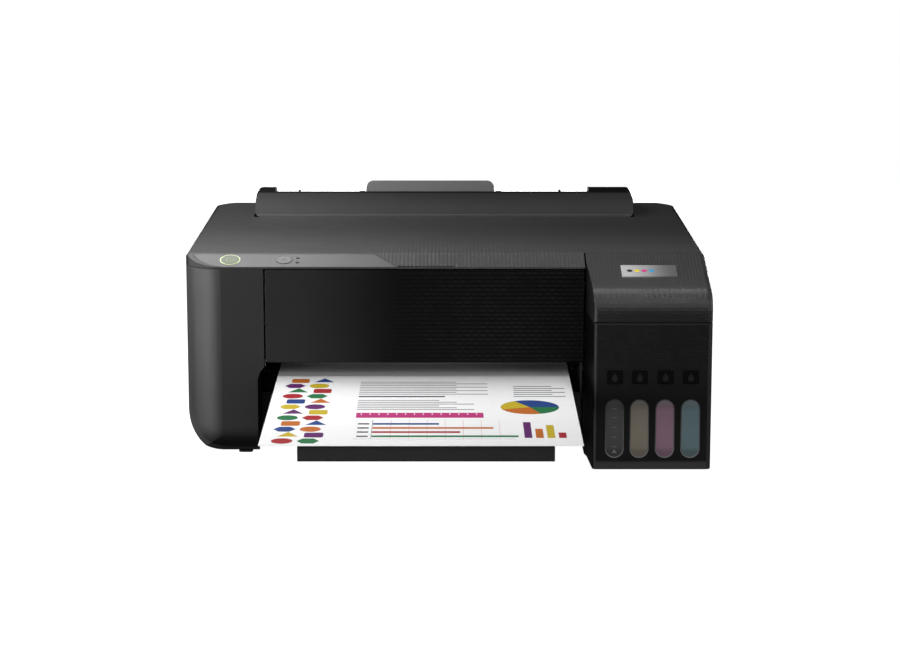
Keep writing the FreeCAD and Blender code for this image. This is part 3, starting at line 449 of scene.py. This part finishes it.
SLOT_OF = {
    "casing_black": ["main_housing", "base_tray"], "feeder_black": ["feeder_frame"],
    "tank_black": ["tank_housing"], "casing_top": ["top_housing"], "cover_black": ["front_cover"], "tank_cover": ["tank_cover"],
    "panel_grey": ["control_panel"], "light_grey": ["support_extension"], "guard_grey": ["feeder_guard"],
    "tray_black": ["output_tray", "tray_extension", "paper_support", "edge_guide_left", "edge_guide_right"],
    "button_dark": ["power_button"], "feed_button": ["feed_button"], "lit_ring": ["power_light_ring"], "led_clear": ["status_leds"],
    "badge_silver": ["tank_badge"], "tank_k": ["ink_tank_black"], "tank_y": ["ink_tank_yellow"], "tank_m": ["ink_tank_magenta"],
    "tank_c": ["ink_tank_cyan"], "cap_black": ["tank_cap_black"], "cap_yellow": ["tank_cap_yellow"], "cap_magenta": ["tank_cap_magenta"],
    "cap_cyan": ["tank_cap_cyan"],
    "steel": ["main_frame", "carriage_guide_shaft", "carriage_motor", "feed_motor", "housing_screws", "print_head", "feed_roller"],
    "rubber": ["rubber_feet", "pickup_roller", "timing_belt", "eject_roller", "ink_tubes", "capping_cap"],
    "gear_white": ["feed_gear", "idler_gear", "eject_gear", "feed_pinion", "motor_pulley", "idler_pulley", "star_wheels"],
    "board_green": ["main_board", "panel_board"], "film_clear": ["encoder_strip"], "paper": ["printed_sheet"],
    "port_black": ["ac_inlet", "usb_port"],
}
for o_name, o in NODES.items():
    key = "inner_plastic"
    for k, names in SLOT_OF.items():
        if o_name in names:
            key = k
    o.data.materials.clear()
    o.data.materials.append(M[key])


# ---------------------------------------------------------------- new pieces
def solid(name, shells, material, body):
    """one object of closed prisms: each shell is (lower ring, upper ring) of matching points"""
    bm = bmesh.new()
    for lo, hi in shells:
        a = [bm.verts.new(p) for p in lo]
        b = [bm.verts.new(p) for p in hi]
        k = len(a)
        bm.faces.new(a[::-1])
        bm.faces.new(b)
        for i in range(k):
            j = (i + 1) % k
            bm.faces.new((a[i], a[j], b[j], b[i]))
    bmesh.ops.recalc_face_normals(bm, faces=bm.faces)
    me = bpy.data.meshes.new(name)
    bm.to_mesh(me)
    bm.free()
    me.materials.append(material)
    ob = bpy.data.objects.new(name, me)
    scene.collection.objects.link(ob)
    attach(ob, body)
    return ob


def ring_solid(name, rings, material, body):
    """closed rings: each is (outer low, inner low, outer high, inner high) loops of matching points"""
    bm = bmesh.new()
    for ol, il, oh, ih in rings:
        L = [[bm.verts.new(p) for p in loop] for loop in (ol, oh, ih, il)]
        k = len(ol)
        for i in range(k):
            j = (i + 1) % k
            for q in range(4):
                A, B = L[q], L[(q + 1) % 4]
                bm.faces.new((A[i], A[j], B[j], B[i]))
    bmesh.ops.recalc_face_normals(bm, faces=bm.faces)
    me = bpy.data.meshes.new(name)
    bm.to_mesh(me)
    bm.free()
    me.materials.append(material)
    ob = bpy.data.objects.new(name, me)
    scene.collection.objects.link(ob)
    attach(ob, body)
    return ob


def arc(cx, cy, r, a0, a1, k):
    return [(cx + r * math.cos(math.radians(a0 + (a1 - a0) * i / k)), cy + r * math.sin(math.radians(a0 + (a1 - a0) * i / k))) for i in range(k + 1)]


def circle(cx, cy, r, k=28):
    return arc(cx, cy, r, 0, 360, k)[:-1]


def rect(x0, y0, x1, y1):
    return [(x0, y0), (x1, y0), (x1, y1), (x0, y1)]


def rrect(x0, y0, x1, y1, r, k=5):
    return arc(x1 - r, y0 + r, r, -90, 0, k) + arc(x1 - r, y1 - r, r, 0, 90, k) + arc(x0 + r, y1 - r, r, 90, 180, k) + arc(x0 + r, y0 + r, r, 180, 270, k)


def drop(cx, cy, h):
    r = h * 0.34
    return arc(cx, cy - h / 2 + r, r, -205, 25, 18) + [(cx, cy + h / 2)]


def thick_arc(cx, cy, r, w, a0, a1, k=20):
    return arc(cx, cy, r + w / 2, a0, a1, k) + arc(cx, cy, r - w / 2, a1, a0, k)


# tank front: pale window rims, level marks, a drop in each tile
WIN = [(112.7, 125.9), (129.9, 143.5), (147.8, 161.5), (165.7, 179.5)]
TILE = [(113.5, 124.8), (131.0, 142.4), (148.9, 160.6), (166.7, 178.5)]


def pill(x0, x1, z0, z1, k=12):
    r = (x1 - x0) / 2
    cx = (x0 + x1) / 2
    return arc(cx, z1 - r, r, 0, 180, k) + arc(cx, z0 + r, r, 180, 360, k)


rings = []
for x0, x1 in WIN:
    o, i = pill(x0 + 0.03, x1 - 0.03, 9.43, 51.97), pill(x0 + 0.75, x1 - 0.75, 10.15, 51.25)
    rings.append(([W(x, -46.70, z) for x, z in o], [W(x, -46.70, z) for x, z in i],
                  [W(x, -46.98, z) for x, z in o], [W(x, -46.86, z) for x, z in i]))
ring_solid("window_rims", rings, M["rim"], "body")
marks = []
for z in (17.5, 24.5, 31.5, 38.5, 45.0):
    p = rect(117.8, z - 0.25, 120.8, z + 0.25)
    marks.append(([W(x, -46.70, q) for x, q in p], [W(x, -46.80, q) for x, q in p]))
p = [(117.4, 13.0), (121.2, 13.0), (119.3, 15.6)]
marks.append(([W(x, -46.70, q) for x, q in p], [W(x, -46.80, q) for x, q in p]))
solid("level_marks", marks, M["mark"], "body")
# a black plate inside the joint between tank housing and cover, standing in for the shade in the joint
p = rect(106.9, 102.5, 184.4, 107.7)
solid("seam_lip", [([W(x, -44.25, z) for x, z in p], [W(x, -43.65, z) for x, z in p])], M["inner_plastic"], "body")
drops, tiles = [], []
for x0, x1 in TILE:
    p = rrect(x0 + 0.15, 62.25, x1 - 0.15, 72.65, 1.6)
    tiles.append(([W(x, -46.40, z) for x, z in p], [W(x, -46.50, z) for x, z in p]))
    p = drop((x0 + x1) / 2, 67.4, 6.2)
    drops.append(([W(x, -46.50, z) for x, z in p], [W(x, -46.58, z) for x, z in p]))
solid("tile_plates", tiles, M["tile_black"], "body")
solid("tile_drops", drops, M["symbol"], "body")

# control strip symbols
SLOPE = math.atan2(145.0 - 138.1, 20.0)


def on_strip(x, y, h):
    z = 138.1 + 6.9 * y / 20.0
    return W(x, y - math.sin(SLOPE) * h, z + math.cos(SLOPE) * h)


def strip_shell(p, h0, h1):
    return ([on_strip(x, y, h0) for x, y in p], [on_strip(x, y, h1) for x, y in p])


solid("power_symbol", [strip_shell(thick_arc(-154.2, 9.8, 2.4, 0.6, 125, 415), 0.5, 0.56),
                       strip_shell(rect(-154.5, 9.9, -153.9, 12.9), 0.5, 0.56)], M["symbol_pale"], "power_button")
solid("feed_symbol", [strip_shell(thick_arc(-115.5, 10.0, 4.9, 0.35, 0, 359.9, 36), 0.35, 0.40),
                      strip_shell(rect(-117.6, 8.2, -113.4, 8.7), 0.35, 0.40), strip_shell(rect(-117.6, 9.4, -113.4, 9.9), 0.35, 0.40),
                      strip_shell(drop(-115.5, 11.8, 2.6), 0.35, 0.40)], M["symbol_grey"], "feed_button")

# badge: a plain plate with a four-colour key
A15 = math.radians(15.5)


def on_badge(x, y, h):
    z = 145.0 - math.tan(A15) * (20.0 - y)
    return W(x, y - math.sin(A15) * h, z + math.cos(A15) * h)


for i, (nm, c) in enumerate((("k", (0.015, 0.015, 0.015)), ("y", (0.85, 0.66, 0.03)), ("m", (0.70, 0.04, 0.26)), ("c", (0.02, 0.36, 0.66)))):
    p = circle(131.0 + i * 5.2, -10.6, 2.0)
    solid("badge_dot_" + nm, [([on_badge(x, y, 0.75) for x, y in p], [on_badge(x, y, 0.82) for x, y in p])],
          plastic("badge_dot_" + nm, c, 0.4, 0.4, var=0.05), "tank_cover")

# ---------------------------------------------------------------- printed sheet: charts and shapes
SL = math.hypot(238.0, 4.7)
SU = (238.0 / SL, 4.7 / SL)


def on_sheet(x, v, h):
    return W(x, -196.0 + SU[0] * v - SU[1] * h, 54.2 + SU[1] * v + SU[0] * h)


def prints(name, outlines, col, h=0.0):
    sh = [([on_sheet(x, v, h) for x, v in p], [on_sheet(x, v, h + 0.03) for x, v in p]) for p in outlines]
    return solid(name, sh, paper(name, col, 0.03), "printed_sheet")


RED, ORANGE, YELLOW, GREEN, BLUE, PURPLE, PINK = ((0.38, 0.018, 0.025), (0.52, 0.14, 0.015), (0.56, 0.42, 0.02), (0.015, 0.17, 0.055), (0.015, 0.055, 0.24), (0.11, 0.012, 0.13), (0.50, 0.03, 0.19))


def poly(cx, cy, r, k, rot=0.0):
    return [(cx + r * math.cos(math.radians(rot) + 2 * math.pi * i / k), cy + r * math.sin(math.radians(rot) + 2 * math.pi * i / k)) for i in range(k)]


cols = {"red": (RED, []), "orange": (ORANGE, []), "yellow": (YELLOW, []), "green": (GREEN, []), "blue": (BLUE, []), "purple": (PURPLE, [])}
names = list(cols)
for i in range(12):
    v = 12.0 + i * 15.5
    for j in range(2):
        cx = -106.0 + j * 17.0 + (3.0 if i % 2 else 0.0)
        nm = names[(i * 2 + j * 3 + i // 3) % 6]
        kind = (i + 2 * j) % 4
        r = 7.0
        if kind == 0:
            p = circle(cx, v, r)
        elif kind == 1:
            p = poly(cx, v, r * 1.15, 3, 90)
        elif kind == 2:
            p = poly(cx, v, r * 1.05, 6, 0)
        else:
            p = rrect(cx - r * 0.9, v - r * 0.9, cx + r * 0.9, v + r * 0.9, 2.2)
        cols[nm][1].append(p)
# horizontal bars of a chart
for i, nm in enumerate(("green", "red", "orange", "blue")):
    ln = (96.0, 58.0, 80.0, 44.0)[i]
    cols[nm][1].append(rect(-48.0, 22.0 + i * 11.0, -48.0 + ln, 26.5 + i * 11.0))
# upright bars
for i, nm in enumerate(("purple", "orange", "yellow", "red")):
    cols[nm][1].append(rect(52.0 + i * 7.5, 20.0, 57.0 + i * 7.5, (62.0, 44.0, 54.0, 34.0)[i]))
# pie chart
for (a0, a1, nm) in ((0, 120, "blue"), (120, 200, "yellow"), (200, 290, "orange"), (290, 360, "green")):
    cols[nm][1].append([(58.0, 104.0)] + arc(58.0, 104.0, 20.0, a0, a1, 14))
for nm, (c, ps) in cols.items():
    prints("print_" + nm, ps, c)
prints("print_pink_band", [rect(-60.0, 74.0, 26.0, 88.0)], PINK)
prints("print_pink_ticks", [rect(-57.0 + 6.0 * i, 82.0, -56.3 + 6.0 * i, 86.5) for i in range(14)], (0.9, 0.75, 0.82), 0.03)
lines = [rect(-60.0, 96.0 + 5.2 * i, 20.0 - (i % 3) * 12.0, 98.2 + 5.2 * i) for i in range(6)]
lines += [rect(-60.0, 141.0 + 5.2 * i, 30.0 - (i % 2) * 22.0, 143.2 + 5.2 * i) for i in range(8)]
lines += [rect(48.0, 134.0 + 6.0 * i, 84.0 - (i % 2) * 9.0, 136.4 + 6.0 * i) for i in range(6)]
lines += [rect(-60.0, 17.0, 46.0, 17.5), rect(-48.6, 17.0, -48.1, 68.0)]
prints("print_grey_lines", lines, (0.32, 0.31, 0.33))
prints("print_dark_caps", [rect(-60.0, 133.0, 0.0, 136.5)] + [rect(-58.0, 22.6 + i * 11.0, -50.5, 26.0 + i * 11.0) for i in range(4)], (0.06, 0.06, 0.07))
prints("print_rose_grid", [rect(-48.0 + 12.0 * i, 17.8, -47.7 + 12.0 * i, 68.0) for i in range(1, 8)], (0.75, 0.48, 0.55), -0.01)

# ---------------------------------------------------------------- stage and light
def plane(name, pts, material):
    me = bpy.data.meshes.new(name)
    me.from_pydata([Vector(p) for p in pts], [], [(0, 1, 2, 3)])
    me.materials.append(material)
    ob = bpy.data.objects.new(name, me)
    scene.collection.objects.link(ob)
    return ob


n = Nodes("floor_pale")
n.link(n.ramp(n.noise(3.0), [(0.3, (0.27, 0.27, 0.27)), (0.7, (0.29, 0.29, 0.29))]), n.b.inputs["Base Color"])
n.b.inputs["Roughness"].default_value = 0.9
n.b.inputs["Specular IOR Level"].default_value = 0.0
n.b.inputs["Emission Color"].default_value = (1, 1, 1, 1)
n.b.inputs["Emission Strength"].default_value = 1.0
fl = plane("floor", [(-6, -6, 0), (6, -6, 0), (6, 6, 0), (-6, 6, 0)], n.m)
fl.visible_glossy = False
fl.visible_diffuse = False

wd = bpy.data.worlds.new("world")
wd.use_nodes = True
scene.world = wd
wt = wd.node_tree
bg = wt.nodes["Background"]
bg.inputs["Color"].default_value = (1, 1, 1, 1)
bg.inputs["Strength"].default_value = 0.05


def area(name, loc, target, size, power, spread=180.0):
    li = bpy.data.lights.new(name, "AREA")
    li.shape = "RECTANGLE"
    li.size, li.size_y = size
    li.energy = power
    li.spread = math.radians(spread)
    ob = bpy.data.objects.new(name, li)
    ob.location = loc
    if target:
        d = Vector(target) - Vector(loc)
        ob.rotation_euler = d.to_track_quat("-Z", "Y").to_euler()
    ob.visible_camera = False
    scene.collection.objects.link(ob)
    return ob


area("key", (-0.26, 0.13, 0.46), None, (0.32, 0.52), 3.2)
area("over_right", (0.17, 0.06, 0.70), None, (0.20, 0.40), 1.15)
area("over_tank", (0.20, -0.46, 0.68), (0.150, -0.085, 0.12), (0.12, 0.12), 0.009, 22.0)
area("front_high", (0.0, -1.20, 0.75), (0.0, -0.10, 0.05), (1.6, 0.6), 4.2)
area("front_left", (-1.10, -1.20, 0.24), (-0.05, -0.05, 0.07), (0.60, 0.25), 1.9)
area("front_right", (1.05, -1.20, 0.24), (0.05, -0.05, 0.07), (0.60, 0.25), 2.9)
area("left_low", (-0.80, -0.34, 0.05), (-0.19, -0.06, 0.06), (0.80, 0.09), 3.2)
area("front_left_low", (-0.70, -0.75, 0.055), (-0.18, -0.05, 0.06), (0.60, 0.10), 2.7)
area("side_left", (-0.95, 0.22, 0.25), (-0.19, 0.05, 0.08), (0.30, 0.40), 1.9)
area("rear_low", (0.10, 1.40, 0.06), (0.0, 0.25, 0.07), (1.8, 0.11), 9.0)
area("side_right", (1.05, -0.05, 0.25), (0.19, -0.05, 0.08), (0.3, 0.5), 2.0)
